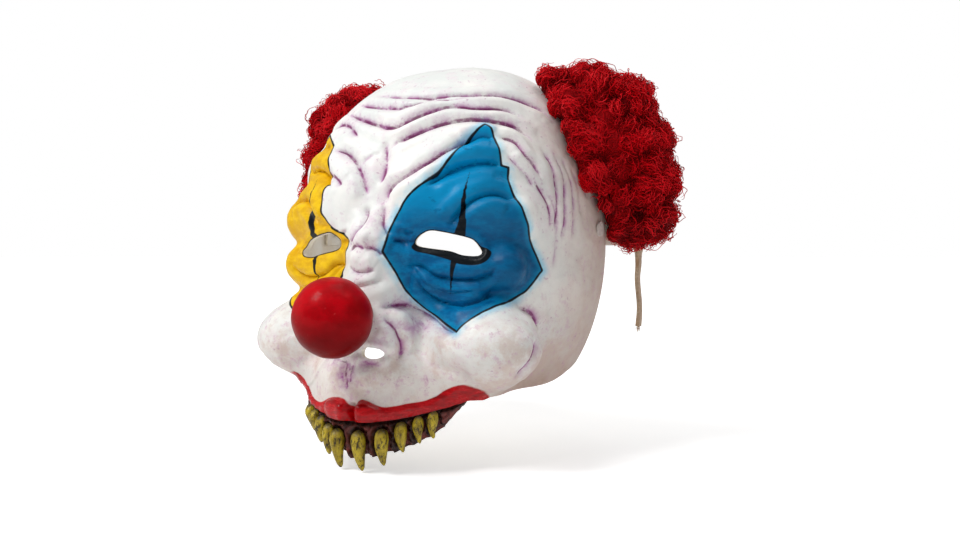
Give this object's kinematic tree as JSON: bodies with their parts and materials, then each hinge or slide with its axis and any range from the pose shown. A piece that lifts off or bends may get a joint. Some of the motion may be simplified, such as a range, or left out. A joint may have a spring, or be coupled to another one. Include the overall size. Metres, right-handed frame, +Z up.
{
  "type": "latex halloween mask",
  "caption": "Latex clown half mask with eye holes, bulb nose, cheek bulges, fangs under the upper lip, curly hair tufts at the sides and an elastic head strap at each ear.",
  "frame": {"origin": "on the plane of the rear rim, midway between the ears, level with the eyes", "axes": "+Y out of the rear rim towards the back of the wearer's head, the face looks along -Y, +X to the wearer's left, +Z up towards the crown"},
  "size_m": [0.2582, 0.1995, 0.2188],
  "materials": {
    "latex_skin": "painted natural latex, satin, white base with blue and yellow eye paint and purple wash in the folds",
    "nose_latex": "deep red painted latex, semi-gloss",
    "foam": "open-cell polyurethane foam",
    "gum_latex": "dark red-brown painted latex, satin",
    "tooth_resin": "cast teeth, aged olive yellow with dark stains",
    "hair_net": "knitted net backing",
    "hair_fibre": "curled synthetic fibre",
    "elastic": "tan woven elastic",
    "eyelet_metal": "pressed brass, satin",
    "rivet_metal": "pressed aluminium, satin"
  },
  "bodies": {
    "mask": {"face_shell": "latex_skin", "nose_ball": "nose_latex", "nose_foam_core": "foam", "gum_arch": "gum_latex", "tooth_left_1": "tooth_resin", "tooth_left_2": "tooth_resin", "tooth_left_3": "tooth_resin", "tooth_left_4": "tooth_resin", "tooth_left_5": "tooth_resin", "tooth_right_1": "tooth_resin", "tooth_right_2": "tooth_resin", "tooth_right_3": "tooth_resin", "tooth_right_4": "tooth_resin", "tooth_right_5": "tooth_resin", "hair_backing_left": "hair_net", "hair_backing_right": "hair_net", "hair_tuft_left": "hair_fibre", "hair_tuft_right": "hair_fibre", "strap_tab_left": "latex_skin", "strap_tab_right": "latex_skin", "strap_eyelet_left": "eyelet_metal", "strap_eyelet_right": "eyelet_metal", "tab_rivet_left": "rivet_metal", "tab_rivet_right": "rivet_metal", "rivet_washer_left": "rivet_metal", "rivet_washer_right": "rivet_metal"},
    "strap_left_upper": {"strap_upper_left": "elastic"},
    "strap_left_lower": {"strap_lower_left": "elastic"},
    "strap_right_upper": {"strap_upper_right": "elastic"},
    "strap_right_lower": {"strap_lower_right": "elastic"}
  },
  "joints": [
    {"name": "strap_left_swing", "type": "hinge", "parent": "mask", "child": "strap_left_upper", "pos_m": [0.0984, 0.034, 0.008], "axis": [1, 0, 0], "range_deg": [-10, 85]},
    {"name": "strap_left_curl", "type": "hinge", "parent": "strap_left_upper", "child": "strap_left_lower", "pos_m": [0.0984, 0.034, -0.019], "axis": [0, 1, 0], "range_deg": [-45, 90]},
    {"name": "strap_right_swing", "type": "hinge", "parent": "mask", "child": "strap_right_upper", "pos_m": [-0.0984, 0.034, 0.008], "axis": [1, 0, 0], "range_deg": [-10, 85]},
    {"name": "strap_right_curl", "type": "hinge", "parent": "strap_right_upper", "child": "strap_right_lower", "pos_m": [-0.0984, 0.034, -0.019], "axis": [0, -1, 0], "range_deg": [-45, 90]}
  ]
}
